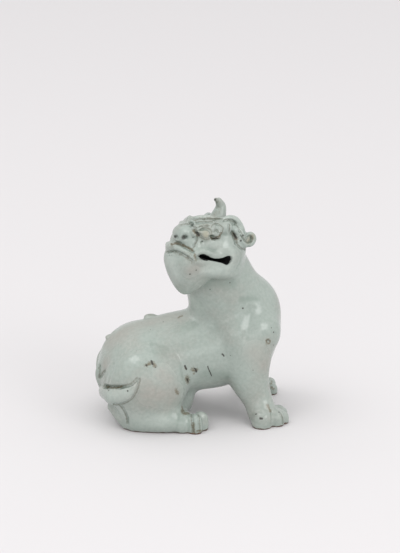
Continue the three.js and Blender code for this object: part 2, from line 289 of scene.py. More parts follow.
def tail():
    """A fan of flame-shaped locks laid flat on the rump, each thin away from the rump and broad along it."""
    def lock(along, thin, broad):
        outwards = (-0.65, 0.75 * np.sign(along[1][1]), 0)
        return limb(along, thin, broad, side=outwards)

    near_long = lock(
        [[-65, -10, 24], [-63.5, -20, 26], [-61.5, -27.8, 27], [-56, -35.6, 30], [-50.6, -41, 35],
         [-46.8, -42.4, 40], [-44.2, -41.6, 44.5]],
        thin=[3.4, 3.6, 3.6, 3.4, 3, 2.2, 1],
        broad=[5, 5.6, 6.2, 6.2, 5.4, 3.2, 0.8],
    )
    near_upright = lock(
        [[-62, -17, 29], [-61.5, -19, 38], [-60.2, -20.2, 45], [-59, -20, 51]],
        thin=[2.8, 2.6, 2, 1],
        broad=[5, 4.2, 2.8, 0.8],
    )
    near_low = lock(
        [[-58.5, -12, 15], [-54.5, -20, 9], [-51, -24.5, 2]],
        thin=[3.4, 3.4, 2],
        broad=[6, 5, 2.5],
    )
    middle = lock([[-63.5, -4, 24], [-67, -4, 36], [-66, -4, 46]], thin=[2.4, 2.4, 1], broad=[4, 3.4, 0.8])
    far_long = lock(
        [[-63, 10, 23], [-58, 25, 24], [-51.5, 35, 31], [-46, 40, 41]],
        thin=[3, 3.2, 3, 1],
        broad=[5, 6, 5, 1],
    )
    far_upright = lock(
        [[-63, 17, 29], [-62.5, 20.5, 39], [-59.5, 20, 49]],
        thin=[3, 2.8, 1],
        broad=[5, 3.6, 1],
    )
    return [near_long, near_upright, near_low, middle, far_long, far_upright]


def spine():
    """Two low knobs on the line of the back."""
    return [ball([-56, 5, 60], [5.4, 4, 2.2]), ball([-27.5, 9, 72.6], [5, 3.6, 2])]


def snout():
    """Nose, the lip that bridges the front of the mouth, and the horn with its foot and its tip."""
    lip = [
        [23, -14.5, -4.4], [26.6, -12.3, -2], [29, -8, -0.8], [29.6, -2, -0.4],
        [29.5, 4, -0.6], [28.8, 10, -1.5], [27.6, 13.8, -2.8], [26.3, 15.4, -4.6],
    ]
    return [
        ball([24.8, 0, 9.8], [7.9, 10.6, 7.8], plan=0.9),
        limb(lip, [2.6, 2.8, 3, 3.1, 3.1, 3, 2.4, 1.6], side=UPRIGHT),
        limb([[-1.4, 0, 20], [-2.2, 0, 27], [-2.2, 0, 33], [1, 0, 36.5]], [8.4, 5.4, 3.8, 2.6]),
        ball([0.4, 0, 21.6], [8, 7, 3.2]),
        ball([4, 0.4, 37.2], [1.9, 1.8, 1.6]),
    ]


def near_face():
    """The side of the face that shows."""
    lips = [
        [26, 14.8, -0.6], [22, 15.7, 1.9], [16.5, 16.6, 1.6], [10, 17.4, 0.3], [4, 18, 1.6], [-1, 18.4, 4],
        [-6.5, 18.4, 3], [-8.4, 18.4, -1.5], [-6.5, 18.4, -6.3], [-2.5, 18.2, -7.8], [3, 17.8, -6.4],
        [10, 17, -6.2], [17, 16.2, -5.8], [24, 15, -5.6],
    ]
    cheeks = [
        ball([6, 13, 8.5], [14, 5.5, 6]),
        ball([6, 13, -10], [14, 5.5, 6]),
        limb(lips, 2.1, side=UPRIGHT),
        limb([[27, 14.2, -1], [26.6, 15.3, -3.5], [25.6, 15, -7]], [1.2, 1.4, 1.2]),
    ]
    eyelid = [[26.5, 8, 17.5], [22.5, 12.8, 19.2], [14, 15.4, 18.9], [11, 15.3, 17]]
    lower_brow = [[25, 3, 19.7], [22.5, 9, 21.3], [15, 13, 21.9], [9, 13, 21.5]]
    upper_brow = [[20, -1, 21], [18, 5, 23.3], [12, 9, 24.3], [4, 10.5, 24.3]]
    beside_nose = ball([25.5, 11, 14.5], [4, 4, 4.5])
    eye = ball([19.1, 14.2, 13.9], [4.7, 4.6, 4.6])
    eye_and_brows = [
        beside_nose,
        eye,
        limb(eyelid, 1.5, side=UPRIGHT),
        limb(lower_brow, [1.8, 2.1, 2.1, 1.8], side=UPRIGHT),
        limb(upper_brow, [2.2, 2.6, 2.7, 2.2], side=UPRIGHT),
    ]
    ear_rim = [
        [14.8, 14.8, 21.8], [16.2, 16, 19.4], [15, 16.8, 16.2],
        [11.5, 17, 15], [8.4, 16.6, 17.2], [8.8, 15.8, 20.4],
    ]
    ear = [
        limb(ear_rim, [1.8, 2, 2, 2, 2, 1.8]),
        ball([12, 14.6, 18.2], [2.8, 3, 3]),
    ]
    crown_lock = [
        [5.5, 10.5, 23.5], [3.5, 12, 25.2], [0.6, 13, 26.8], [-3.1, 13.3, 27.1],
        [-6.8, 13.6, 26.2], [-9.8, 14, 24.1], [-12.7, 14.6, 21], [-15, 15.4, 17.6],
    ]
    curl = [
        [-4.6, 15, 20], [-8.9, 17.6, 18.5], [-10.6, 18.4, 15.4], [-13.1, 18.8, 12.4], [-17.4, 18.8, 11.3],
        [-21, 18.6, 12.3], [-22.2, 18.4, 15], [-20.4, 18.6, 17.4], [-17.3, 18.8, 18], [-15.7, 19, 16.4],
    ]
    locks = [
        ball([3, 15.2, 20.4], [4.8, 4.6, 5]),
        ball([-4.4, 16, 19], [4, 4, 4.2]),
        limb(crown_lock, [1.4, 2, 2.3, 2.5, 2.5, 2.4, 2.3, 1.8]),
        limb(curl, [2.4, 2.6, 2.7, 2.7, 2.7, 2.6, 2.6, 2.4, 2.1, 1.6]),
        ball([-17.2, 17.2, 14.6], [3.4, 2.6, 3.4]),
    ]
    return cheeks + eye_and_brows + ear + locks


def far_face():
    """The other side of the face, lower and plainer."""
    lips = [
        [26, -14.8, -0.6], [16.5, -16.6, 1.6], [4, -18, 1.6], [-5, -18.4, 3.6],
        [-8.4, -18.4, -1.5], [-5, -18.4, -7], [10, -17, -6.2], [24, -15, -5.6],
    ]
    brow_tip = ball([21.5, -3, 21.2], [2.2, 2.2, 2.4])
    cheeks = [
        ball([6, -13, 7.5], [14, 5.5, 6]),
        ball([6, -13, -10], [14, 5.5, 6]),
        limb(lips, 2, side=UPRIGHT),
    ]
    eyelid = [[24.5, -6, 15.5], [20.5, -12, 16.2], [14, -14.5, 15.6], [10, -15, 13.6]]
    brow = [[22, -2.5, 18.5], [18.5, -8, 18.5], [12, -13, 18.5], [4, -15, 18]]
    eye_and_brows = [
        ball([18.5, -12, 12], [4.4, 4, 4]),
        limb(eyelid, 1.5, side=UPRIGHT),
        limb(brow, [2.6, 2.8, 2.8, 2.2], side=UPRIGHT),
    ]
    ear = limb([[13, -15.5, 17], [13.5, -17, 12.5], [9, -17.5, 11.5], [7.5, -17, 15.5]], 2)
    curl = [
        [-2, -14, 19], [-8.5, -17.5, 16], [-12, -18.6, 11.5], [-17.4, -18.8, 9.5],
        [-21.6, -18.6, 12.5], [-20, -18.6, 16.5], [-16.5, -19, 15.5],
    ]
    locks = [
        ball([3, -15, 17], [4.6, 4, 4.6]),
        limb([[2, -9, 23], [-5, -13, 23.5], [-11, -16, 19], [-14, -17, 14]], [1.8, 2.5, 2.5, 2]),
        limb(curl, [2.4, 2.7, 2.7, 2.6, 2.5, 2.3, 1.8]),
        ball([-17.2, -17.2, 13], [3.4, 2.6, 3.4]),
    ]
    return [brow_tip, *cheeks, *eye_and_brows, ear, *locks]


# The mouth: a wavy slit, drawn in the side plane of the head, and the chamber behind it
SLIT = [
    [21.6, -1.8], [19.4, 0.2], [17, -0.5], [10.8, -1.8], [4.4, -1], [-0.4, 1.6], [-3.4, 0.8],
    [-4.4, -2.2], [-2.2, -5], [2.7, -4.2], [8.6, -3.7], [14.5, -3.4], [18.8, -3],
]
SLIT_STEPS = 78
SLIT_LEVELS = (40.0, 14.0, -14.0, -40.0)  # from outside one cheek, through the chamber, to outside the other
CHAMBER_AT = (9, 0, -2.5)
CHAMBER_SIZE = (13.5, 14.5, 7.5)


def slit_rim():
    """The slit's outline as a smooth closed curve, along the head's X and Z."""
    return smooth_path(SLIT + SLIT[:1], SLIT_STEPS)[:-1]


def mouth():
    """The slit is a prism whose rings repeat its rim at each level. The chamber is an ellipsoid."""
    rim = slit_rim()
    rings = [np.column_stack([rim[:, 0], np.full(len(rim), level), rim[:, 1]]) for level in SLIT_LEVELS]
    return [closed_grid(np.stack(rings)), ball(CHAMBER_AT, CHAMBER_SIZE)]


# Clay: shapes are joined on a grid and smoothed


def mesh_of(shapes, name):
    """One mesh of several closed shapes."""
    start = np.cumsum([0] + [len(points) for points, faces in shapes])
    corners = np.vstack([points for points, faces in shapes])
    faces = [[i + first for i in face] for (points, group), first in zip(shapes, start) for face in group]
    mesh = bpy.data.meshes.new(name)
    mesh.from_pydata(corners.tolist(), [], faces)
    mesh.update()
    return mesh


def corners_of(mesh):
    """Each corner's place, one row each."""
    points = np.empty(len(mesh.vertices) * 3, np.float32)
    mesh.vertices.foreach_get("co", points)
    return points.reshape(-1, 3).astype(float)


def set_corners(mesh, points):
    """The mesh's corners go to the points."""
    mesh.vertices.foreach_set("co", points.astype(np.float32).ravel())
    mesh.update()


def normals_of(mesh):
    """The direction in which the surface faces at each corner."""
    n = np.empty(len(mesh.vertices) * 3, np.float32)
    mesh.vertex_normals.foreach_get("vector", n)
    return n.reshape(-1, 3).astype(float)


def edges_of(mesh):
    """The numbers of the corners at the two ends of each edge."""
    edges = np.empty(len(mesh.edges) * 2, np.int32)
    mesh.edges.foreach_get("vertices", edges)
    return edges.reshape(-1, 2).T


def squares_of(mesh):
    """The corners of each face of a grid, which has four."""
    corners = np.empty(len(mesh.loops), np.int32)
    mesh.loops.foreach_get("vertex_index", corners)
    return corners.reshape(-1, 4).tolist()


def finished(obj):
    """The object's mesh with its modifiers applied, in place of the one it had."""
    depsgraph = bpy.context.evaluated_depsgraph_get()
    mesh = bpy.data.meshes.new_from_object(obj.evaluated_get(depsgraph))
    obj.modifiers.clear()
    obj.data = mesh
    return mesh


def gridded(obj, size):
    """The object's shapes become one skin of squares that are size wide."""
    remesh = obj.modifiers.new("grid", "REMESH")
    remesh.mode = "VOXEL"
    remesh.voxel_size = size
    return finished(obj)


def settled(values, edges, rounds, share=0.5):
    """Each row moves by share of the way to the mean of its neighbours' rows, rounds times."""
    a, b = edges
    count = len(values)
    near = np.bincount(a, minlength=count) + np.bincount(b, minlength=count)
    for _ in range(rounds):
        total = [np.bincount(a, v[b], count) + np.bincount(b, v[a], count) for v in values.T]
        values = values + share * (np.stack(total, 1) / near[:, None] - values)
    return values


def cut(figure, shapes):
    """Each shape in turn is taken out of the figure."""
    for shape in shapes:
        tool = bpy.data.objects.new("cut", mesh_of([shape], "cut"))
        bpy.context.scene.collection.objects.link(tool)
        boolean = figure.modifiers.new("cut", "BOOLEAN")
        boolean.operation = "DIFFERENCE"
        boolean.solver = "EXACT"
        boolean.object = tool
        finished(figure)
        bpy.data.objects.remove(tool)


def settled_shape(mesh, rounds):
    """The mesh as a shape again, its corners settled."""
    return settled(corners_of(mesh), edges_of(mesh), rounds), squares_of(mesh)


def make_figure():
    """Large forms are joined and settled first, then the head, then the details, and last the surface."""
    forelegs = [foreleg(RIGHT, [45, -26, 17], [48, -30, 7]), foreleg(LEFT, [50, 30.5, 17], [54, 33, 6])]
    large = trunk() + near_shoulder() + haunch(RIGHT) + haunch(LEFT) + forelegs
    figure = bpy.data.objects.new("glazed_qilin", mesh_of(large, "body"))
    bpy.context.scene.collection.objects.link(figure)
    body = settled_shape(gridded(figure, BODY_GRID), BODY_ROUNDS)
    figure.data = mesh_of([body] + moved(skull(), HEAD), "body and head")
    body = settled_shape(gridded(figure, HEAD_GRID), HEAD_ROUNDS)
    details = fore_paws() + hind_paw(RIGHT) + hind_paw(LEFT) + tail() + spine()
    face = moved(snout() + near_face() + far_face(), HEAD)
    figure.data = mesh_of([body] + details + face, "figure")
    gridded(figure, DETAIL_GRID)
    cut(figure, moved(mouth(), HEAD))
    clay = gridded(figure, SURFACE_GRID)
    set_corners(clay, settled(corners_of(clay), edges_of(clay), SURFACE_ROUNDS))
    engrave(clay)
    thin_out(figure)
    clay = figure.data
    points = corners_of(clay)
    points[:, 2] = np.maximum(points[:, 2], 0)
    set_corners(clay, (points + MIDDLE) * MM)
    clay.polygons.foreach_set("use_smooth", np.ones(len(clay.polygons), bool))
    return figure


# Marks that are drawn where they show in the picture, and cast from there onto the figure

CAST_STEP = 0.4  # pixels from one cast place to the next
CAST_GAP = 0.9  # pixels within which a corner of the surface stands for a drawn place
CAST_MARGIN = 3  # pixels around a drawn path in which corners are looked for
CAST_ROUNDS = 3
FADED = 3  # widths from a mark beyond which nothing is left of it
FACING = 0.15  # the least share of its normal with which a corner that is engraved faces the eye
NORMAL_ROUNDS = 5  # that even out the directions in which corners sink
ENGRAVED_ROUNDS = 1

# Engraved lines by where they are: half width and depth in millimetres, then the pixels that a line crosses.
LINES = {
    "nose and upper lip": [
        (1.0, 1.3, [(170.5, 244), (174, 242.8), (178, 243), (184, 246), (190, 249.4), (193.5, 251.5)]),
        (1.0, 1.2, [(180, 224.4), (187, 223.2), (192.5, 225.5), (196, 230), (197.3, 236), (196.3, 242),
                    (193.5, 246.6)]),
    ],
    "mouth line": [
        (0.9, 1.6, [(166, 252), (171, 251.4), (176, 252), (182, 254.8), (187, 257.8), (191.5, 261)]),
        (0.7, 0.8, [(191.5, 253), (193, 256), (193.3, 260.5)]),
    ],
    "brow": [
        (0.9, 1.3, [(194, 219.6), (199, 218.6), (208, 218.8), (216, 219.2), (222, 218.2)]),
        (0.8, 1.1, [(195, 222.6), (201, 222.2), (208, 222), (213, 221.4)]),
        (0.9, 1.0, [(192.6, 226), (197, 227.4), (203, 226.4), (209, 226.4)]),
    ],
    "eye": [
        (1.5, 2.8, [(192.4, 229.4), (196, 231.8), (199.6, 235.6)]),
        (0.9, 1.3, [(199.4, 235.4), (201.6, 238.6), (205.4, 240), (210.4, 239)]),
        (0.9, 1.5, [(199.8, 230.4), (203, 228.6), (208, 228.8), (211.4, 232), (211.4, 237)]),
    ],
    "ear": [
        (1.2, 2.2, [(211.2, 237), (215, 238.4), (219.6, 237.4), (222.4, 234)]),
        (0.8, 0.9, [(214.4, 232), (216.8, 229.8), (219, 232)]),
        (0.8, 1.0, [(212, 226.4), (215.4, 224), (220.4, 224.6), (223, 229), (222.4, 234)]),
        (0.8, 1.0, [(229.5, 223.6), (229, 228), (229.6, 232.4)]),
    ],
    "lock, crevice and curl": [
        (0.8, 1.4, [(223, 220.4), (228, 219.6), (233, 221.4), (237.4, 225.4), (240, 230), (241, 233)]),
        (1.3, 2.6, [(232.6, 233.4), (234.6, 236), (236, 239.6), (237, 243)]),
        (0.8, 1.3, [(237.6, 244), (240.4, 247.6), (245.6, 249.6), (251, 248.6)]),
        (0.8, 1.7, [(241, 236.4), (244, 239.6), (248, 242.6), (251.6, 240.6), (251.2, 236.6), (247.6, 236.2),
                    (247, 239)]),
    ],
    "cheek and nape": [
        (0.8, 0.6, [(234.6, 247), (239.6, 251), (241.6, 256), (240.6, 263), (237.6, 269)]),
        (1.0, 0.5, [(247.4, 243.6), (249.6, 250), (249.6, 262)]),
    ],
    "neck fold, hollow of the shoulder and edge of the haunch": [
        (3.6, 0.25, [(240, 300), (249, 298.6), (258, 300)]),
        (3.0, 0.6, [(251.4, 310), (250.6, 322), (247, 336)]),
        (2.0, 0.45, [(153, 344), (165, 345), (176, 351), (182.4, 362), (184.4, 376)]),
    ],
    "tail": [
        (1.2, 2.6, [(103, 386), (108, 386.8), (115, 387.2), (122, 386.4), (130, 384), (137, 378.6)]),
        (1.0, 1.8, [(139.6, 379), (139.2, 385), (137, 392.6), (131.8, 400), (125.6, 403.6), (119, 405.4)]),
        (1.0, 1.3, [(113, 405), (119, 405.4), (123.6, 411), (126.6, 418), (127, 424)]),
        (0.9, 1.3, [(99, 366), (99.6, 372), (99, 378)]),
        (0.9, 1.3, [(104, 370.6), (101.4, 374.6), (99, 378)]),
        (1.4, 0.6, [(112.6, 364), (110.2, 374), (107.6, 384)]),
    ],
    "toes": [
        (0.8, 0.8, [(272, 412), (272.6, 418), (271.6, 426)]),
        (0.7, 0.9, [(280, 412.6), (282.6, 418), (283.4, 424)]),
        (0.9, 1.0, [(191, 414), (192, 422), (192.4, 433)]),
        (0.8, 0.9, [(198.6, 414), (199.6, 422), (199.6, 432)]),
    ],
}
HOLES = {
    "nostrils": [(1.3, 3.4, [(175.6, 237.4)]), (1.8, 4, [(184.4, 237.2)])],
    "beside the nose": [(0.6, 1.2, [(193.5, 238)]), (0.7, 1.4, [(202.4, 242)])],
    "curl": [(0.6, 1.0, [(243.4, 235)]), (0.6, 1.0, [(241.3, 240)])],
}

# Marks of colour by kind and by where they are: radius in millimetres, then the pixels that a mark crosses.
# Some kinds hold painted light and shade as well, as said at each.
COLOUR_MARKS = {
    # Brown pits in the glaze, and painted shade in the nostrils and the small holes and creases of the face.
    "pits_and_hole_shade": {
        "rump and haunch": [
            (1.0, [(146.5, 364.5)]), (0.9, [(151.6, 360.4), (153, 364)]), (0.7, [(156, 366.5)]),
            (0.8, [(108.4, 390)]), (0.8, [(127, 391)]), (0.6, [(183.4, 397)]), (0.4, [(136, 350)]),
        ],
        "back": [(0.5, [(150, 329)]), (0.5, [(163, 321)]), (0.4, [(141, 322)])],
        "flank": [
            (0.8, [(223, 354.6), (224, 356.6)]), (0.55, [(208.3, 367), (209.8, 372), (212, 376.5)]),
            (1.0, [(185.6, 366), (187, 369.4)]), (0.8, [(195.4, 369), (197, 372.4)]),
            (0.9, [(187.6, 379), (189, 382)]), (0.5, [(230, 356)]),
        ],
        "chest": [
            (0.9, [(243.3, 308.8)]), (0.6, [(272, 328)]), (0.7, [(274.2, 332.4)]), (0.6, [(274.2, 345.3)]),
            (0.5, [(253, 371)]), (0.4, [(267.4, 340.8), (268.8, 340), (270, 341.4)]),
        ],
        "feet": [(1.1, [(260, 418.2), (261.4, 419)]), (0.8, [(255.5, 413.5)]), (0.7, [(279, 411.5)])],
        "neck and chin": [
            (0.6, [(210, 289.7)]), (0.7, [(230.3, 283.3)]), (0.7, [(190, 274.7)]), (0.6, [(197, 270.4)]),
            (0.5, [(168.7, 255)]), (0.5, [(171.3, 255)]), (0.6, [(164.4, 268.7)]),
        ],
        # Painted shade in the nostrils, the holes beside the nose and the crease by the eye.
        "nose and eye": [
            (0.8, [(202.4, 242)]), (1.5, [(175.6, 237.4)]), (2.1, [(184.4, 237.2)]), (0.6, [(193.5, 238)]),
            (1.2, [(196.8, 232.6), (199, 235)]),
        ],
        # A pit on the horn; painted shade in the ear's crease, the curl's holes and the crevice by the curl.
        "horn, ear and curl": [
            (1.1, [(214.4, 199)]), (0.9, [(213, 238), (217.4, 237.6)]), (0.9, [(243.4, 235)]),
            (0.9, [(241.3, 240)]), (1.1, [(234, 234.6), (235.6, 238)]),
        ],
    },
    # Brown stains, and painted shade in creases of the face and feet.
    "stains_and_crease_shade": {
        "chest": [(0.9, [(267, 343), (267, 340.6), (269, 339.4), (270.8, 341.6), (269.6, 344), (267, 343)])],
        # Brown by the mouth's corner; in the creases by the nose, lip, eye and ear, brown together with
        # painted shade.
        "face": [
            (1.3, [(171, 244), (178, 243.6), (186, 246.8), (192, 250.4)]),
            (1.1, [(194.8, 255.4), (197, 259.6)]), (1.5, [(194, 230.6), (199, 235.4)]),
            (1.4, [(212, 238.4), (218, 237.2), (222, 234)]), (1.6, [(233.4, 234.4), (236.4, 240)]),
        ],
        "tail and haunch": [
            (1.0, [(107, 386.8), (113, 387.4), (122, 386.8)]),
            (1.6, [(146.5, 364.5), (152.4, 362), (155.6, 366)]), (1.5, [(176.6, 389.8), (178.6, 394)]),
        ],
        "flank": [
            (1.7, [(192.8, 370), (196.6, 371)]), (1.1, [(193.6, 374.4)]), (2.7, [(187.4, 378), (188.6, 382)]),
            (1.2, [(186, 368)]),
        ],
        "back": [(1.0, [(182, 315), (178, 317)]), (0.9, [(144, 314), (150, 312.6), (155, 312.4)])],
        # Brown at the feet; painted shade in the groove between the near hind toes.
        "feet": [
            (1.8, [(182.8, 407), (184, 412.6), (189, 412.4)]), (1.4, [(192.8, 424), (193.2, 433)]),
            (1.2, [(198, 431.6), (202, 431)]), (1.2, [(272, 381), (270, 386), (274, 389)]),
            (1.5, [(268, 405), (271, 411)]),
        ],
    },
    "rosy": {
        "back": [(9.0, [(108, 340), (125, 330), (150, 321), (176, 316)])],
        "haunch": [(10.0, [(152, 392), (172, 396)]), (7.0, [(161, 372), (168, 380)]), (6.0, [(104, 365)])],
        "chin": [(5.0, [(190, 272), (198, 269)])],
        "chest": [(8.0, [(255, 352), (262, 362)])],
    },
    "speckled": {
        "horn and brow": [
            (3.4, [(217, 201), (216.4, 206), (217, 212), (214, 216), (220, 217)]),
            (2.4, [(196, 219), (206, 218), (216, 219)]), (2.0, [(196, 224), (208, 224)]),
        ],
        "curl": [(2.2, [(242, 237), (248, 242), (252, 238)])],
        "lips": [(2.6, [(186, 255), (192, 262)]), (2.4, [(170, 246), (176, 252), (190, 254)])],
        "spine": [(2.6, [(144, 315), (150, 313.6), (155, 314)]), (1.4, [(108, 334), (114, 331)])],
    },
    "beige": {"eye": [(3.6, [(205, 233.6), (206.4, 235)])], "curl": [(2.0, [(249, 241), (252, 237)])]},
    # Whitish glaze on the lock, brow and chin, and painted light elsewhere: painted highlights on the cheek,
    # jaw and mouth's rim, painted light on the throat, painted bounce light low on the rump.
    "milky_and_painted_light": {
        "lock": [(3.4, [(227, 217), (234, 219), (239, 224), (242, 230)])],
        "brow": [(2.4, [(198, 216.6), (212, 216)])],
        # Painted highlights on the rim round the mouth's corner, on the cheek and on the jaw.
        "cheek and jaw": [
            (2.4, [(231, 248), (233.4, 258), (231, 267)]), (5.0, [(208, 245), (222, 246)]),
            (4.0, [(205, 272), (220, 269), (228, 270)]),
        ],
        # Whitish glaze on the chin; painted light on the throat, where the chin's shade falls.
        "chin and throat": [(4.4, [(170, 260), (176, 274)]), (5.0, [(193, 300), (196, 307)])],
        # Lighter on the tail lock; painted bounce light low on the rump.
        "tail and rump": [(4.4, [(110, 396), (126, 394)]), (6.0, [(118, 412), (140, 417), (160, 421)])],
    },
    # Painted shade under the jaw, in the fold of the neck, round the near hind foot and under the belly.
    "painted_shade": {
        "throat": [(5.0, [(206, 286), (218, 284.6), (232, 285.4)]), (3.0, [(243, 300), (256, 300)])],
        "foot and belly": [(6.0, [(174, 417), (188, 424)]), (6.0, [(205, 374), (222, 376)])],
    },
}


def flat(groups):
    """The marks of all the groups in one list."""
    return [mark for group in groups.values() for mark in group]


def pixels_of(points):
    """Where points show in the picture, and how far they are from the eye."""
    v = points - EYE
    far = -v @ TOWARDS
    x = PICTURE[0] / 2 + v @ RIGHTWARDS * DISTANCE / MM_PER_PIXEL / far
    y = PICTURE[1] / 2 - v @ UPWARDS * DISTANCE / MM_PER_PIXEL / far
    return np.column_stack([x, y, far])


def cast(points, seen, front, path):
    """The places where a path drawn in the picture falls on the surface."""
    span = sum(math.dist(a, b) for a, b in zip(path, path[1:]))
    drawn = smooth_path(path, int(span / CAST_STEP)) if span > 0 else np.array(path[:1], float)
    low, high = drawn.min(0) - CAST_MARGIN, drawn.max(0) + CAST_MARGIN
    near = front[((seen[front, :2] > low) & (seen[front, :2] < high)).all(1)]
    gap = np.linalg.norm(seen[near, None, :2] - drawn[None], axis=2)
    depth = np.where(gap < CAST_GAP, seen[near, None, 2], np.inf)
    places = points[near[depth.argmin(0)]][np.isfinite(depth.min(0))]
    for _ in range(CAST_ROUNDS if len(places) > 2 else 0):
        places[1:-1] = (places[:-2] + 2 * places[1:-1] + places[2:]) / 4
    return places


def fading(points, places, width):
    """The points near a row of places, and how strong a mark along them is there, which is
    exp(-(d / width) squared) at distance d."""
    low, high = places.min(0) - FADED * width, places.max(0) + FADED * width
    close = np.nonzero(((points > low) & (points < high)).all(1))[0]
    apart = np.sqrt(((points[close, None] - places[None]) ** 2).sum(2).min(1))
    return close, np.exp(-((apart / width) ** 2))


def engrave(mesh):
    """Each line and hole is cast from the picture onto the surface. A point near it sinks along the surface's
    normal by depth times the strength of the mark there. Where lines cross, the deepest of them counts."""
    points = corners_of(mesh)
    normals = unit(settled(normals_of(mesh), edges_of(mesh), NORMAL_ROUNDS))
    seen = pixels_of(points)
    front = np.nonzero(normals @ TOWARDS > FACING)[0]
    sunk = np.zeros(len(points))
    for width, depth, path in flat(LINES) + flat(HOLES):
        close, strength = fading(points, cast(points, seen, front, path), width)
        sunk[close] = np.maximum(sunk[close], depth * strength)
    set_corners(mesh, settled(points - normals * sunk[:, None], edges_of(mesh), ENGRAVED_ROUNDS))


def marked(points, normals, marks):
    """How strongly each point is marked: 1 on a mark, less around it. A mark that falls on nothing is left
    out."""
    seen = pixels_of(points)
    front = np.nonzero(normals @ TOWARDS > 0)[0]
    total = np.zeros(len(points))
    for radius, path in marks:
        places = cast(points, seen, front, path)
        if len(places):
            close, strength = fading(points, places, radius)
            total[close] = np.maximum(total[close], strength)
    return total


KEPT_AROUND = 2.2  # radii of a mark
KEPT_FROM = 0.3  # strength of a mark so widened


def thin_out(figure):
    """The mesh is thinned to the most triangles it may have, except around brown pitting and staining and the
    painted shade of holes and creases, where it stays as fine as it is."""
    clay = figure.data
    marks = flat(COLOUR_MARKS["pits_and_hole_shade"]) + flat(COLOUR_MARKS["stains_and_crease_shade"])
    widened = [(KEPT_AROUND * radius, path) for radius, path in marks]
    near = marked(corners_of(clay), normals_of(clay), widened) > KEPT_FROM
    plain = figure.vertex_groups.new(name="plain")
    plain.add(np.nonzero(~near)[0].tolist(), 1, "REPLACE")
    thin = figure.modifiers.new("thin", "DECIMATE")
    thin.vertex_group = plain.name
    thin.ratio = MOST_TRIANGLES / sum(len(p.vertices) - 2 for p in clay.polygons)
    finished(figure)


FINE_HOLLOW_ROUNDS, BROAD_HOLLOW_ROUNDS = 6, 60
CREASE_DEPTH = 0.85  # lines deeper than this hold brown
CREASE_WIDTH = 0.8  # as a share of the line's half width
SLIT_WALL = 0.9  # how near the slit's rim its walls are
CHEEK = 19.4  # how far from the head's middle plane the skin is, at the corner of the mouth
CHEEK_NARROWS = 0.11  # by how much nearer for each millimetre towards the snout
# Painted shade in the mouth fills this ellipsoid and the slit's walls.
DARK_SIZE = (15, 17, 9)  # an ellipsoid a little larger than the chamber


def mouth_shade_mask(points):
    """Where shade is painted in the mouth: 1 on the walls of the slit and of the chamber behind it, 0
    elsewhere.
    """
    head = np.array(HEAD.inverted())
    local = points @ head[:3, :3].T + head[:3, 3]
    to_slit = np.linalg.norm(local[:, None, ::2] - slit_rim()[None], axis=2).min(1)
    skin = CHEEK - CHEEK_NARROWS * np.maximum(local[:, 0], 0)
    chamber = (((local - CHAMBER_AT) / DARK_SIZE) ** 2).sum(1) < 1
    return (((to_slit < SLIT_WALL) & (np.abs(local[:, 1]) < skin)) | chamber).astype(float)


def paint(figure):
    """Attributes that the glaze reads: how hollow the surface is, finely and broadly, its brown creases, each
    kind of colour mark, some of them painted light and shade, and the painted shade in the mouth."""
    mesh = figure.data
    points, normals, edges = corners_of(mesh) / MM - MIDDLE, normals_of(mesh), edges_of(mesh)

    def give(name, values):
        mesh.attributes.new(name, "FLOAT", "POINT").data.foreach_set("value", values.astype(np.float32))

    for name, rounds in (("fine_hollow", FINE_HOLLOW_ROUNDS), ("broad_hollow", BROAD_HOLLOW_ROUNDS)):
        give(name, ((settled(points, edges, rounds) - points) * normals).sum(1))
    creases = [(CREASE_WIDTH * width, path) for width, depth, path in flat(LINES) if depth > CREASE_DEPTH]
    give("creases", marked(points, normals, creases))
    for kind, groups in COLOUR_MARKS.items():
        give(kind, marked(points, normals, flat(groups)))
    # Painted shade on the walls of the slit and the chamber.
    give("painted_mouth_shade", mouth_shade_mask(points))


figure = make_figure()
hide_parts("qilin_figure")
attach(figure, "root")
paint(figure)

# Shading


class Number:
    """A number in a shader. Arithmetic on it adds Math nodes."""

    def __init__(self, shading, socket):
        self.shading, self.socket = shading, socket

    def math(self, operation, *values, clamp=False):
        node = self.shading.node("ShaderNodeMath", {"operation": operation, "use_clamp": clamp}, *values)
        return Number(self.shading, node.outputs[0])

    def __add__(self, other):
        return self.math("ADD", self, other)

    def __radd__(self, other):
        return self.math("ADD", other, self)

    def __sub__(self, other):
        return self.math("SUBTRACT", self, other)

    def __rsub__(self, other):
        return self.math("SUBTRACT", other, self)

    def __mul__(self, other):
        return self.math("MULTIPLY", self, other)

    def __rmul__(self, other):
        return self.math("MULTIPLY", other, self)

    def ramp(self, low, high):
        """0 at low, 1 at high, straight between them and level outside."""
        return self.math("MULTIPLY", self - low, 1 / (high - low), clamp=True)


